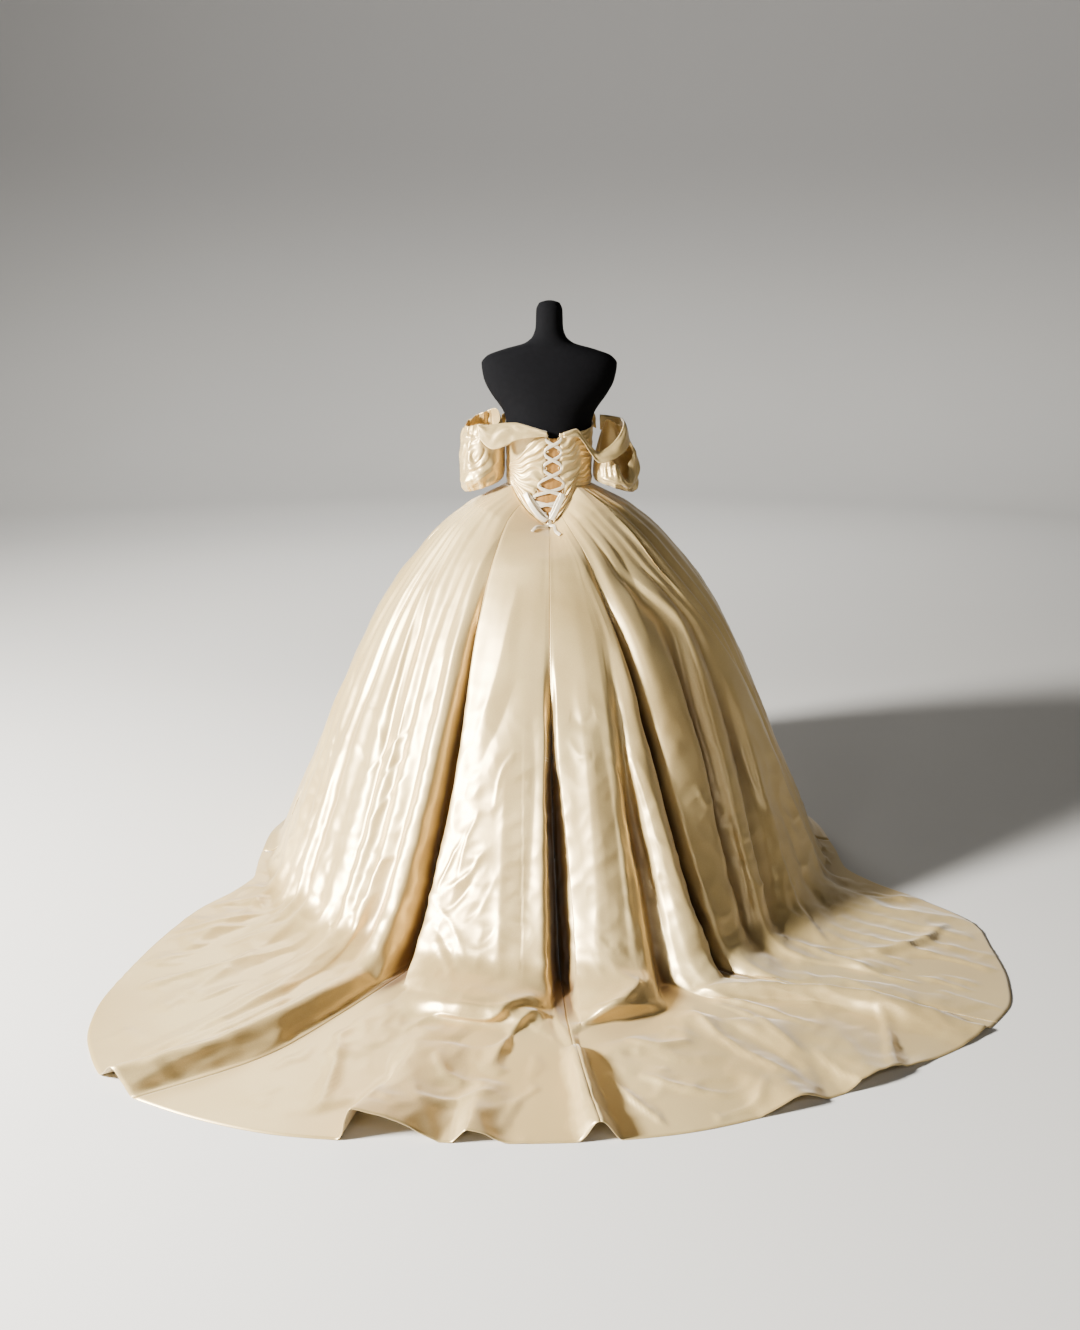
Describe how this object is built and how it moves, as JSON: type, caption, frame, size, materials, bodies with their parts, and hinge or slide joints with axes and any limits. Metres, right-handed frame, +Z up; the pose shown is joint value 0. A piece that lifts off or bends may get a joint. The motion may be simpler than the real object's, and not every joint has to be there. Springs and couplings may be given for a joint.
{
  "type": "quinceanera dress on a dress form and stand",
  "caption": "Floor-length ball gown with a laced, pointed back bodice, off-shoulder puff sleeves and a pleated bell skirt with a train, on a limbless dress form and stand.",
  "frame": {"origin": "on the floor, at the middle of the underside of the stand's base, on the pole's axis", "axes": "+Z up; +Y toward the front of the dress, so the train lies toward -Y; +X toward the wearer's right"},
  "size_m": [2.1083, 2.1646, 1.543],
  "materials": {
    "champagne_satin": "satin",
    "ivory_ribbon": "satin",
    "gold_satin": "satin",
    "jersey": "matte",
    "stand_metal": "satin"
  },
  "bodies": {
    "root": {"form_torso": "jersey", "stand_base": "stand_metal", "stand_pole": "stand_metal", "back_inset": "gold_satin", "bodice_back_left": "champagne_satin", "bodice_back_right": "champagne_satin", "bodice_side_left": "champagne_satin", "bodice_side_right": "champagne_satin", "bodice_front": "champagne_satin", "lacing_ribbon_under": "ivory_ribbon", "lacing_ribbon_over": "ivory_ribbon", "bow_loop_left": "ivory_ribbon", "bow_loop_right": "ivory_ribbon", "lacing_knot": "ivory_ribbon", "lacing_top_tab": "ivory_ribbon", "sleeve_left": "champagne_satin", "sleeve_right": "champagne_satin", "shoulder_band_left": "champagne_satin", "shoulder_band_right": "champagne_satin", "shoulder_band_front": "champagne_satin", "skirt_back_left": "champagne_satin", "skirt_back_right": "champagne_satin", "skirt_side_left": "champagne_satin", "skirt_side_right": "champagne_satin", "skirt_front": "champagne_satin"}
  },
  "joints": []
}
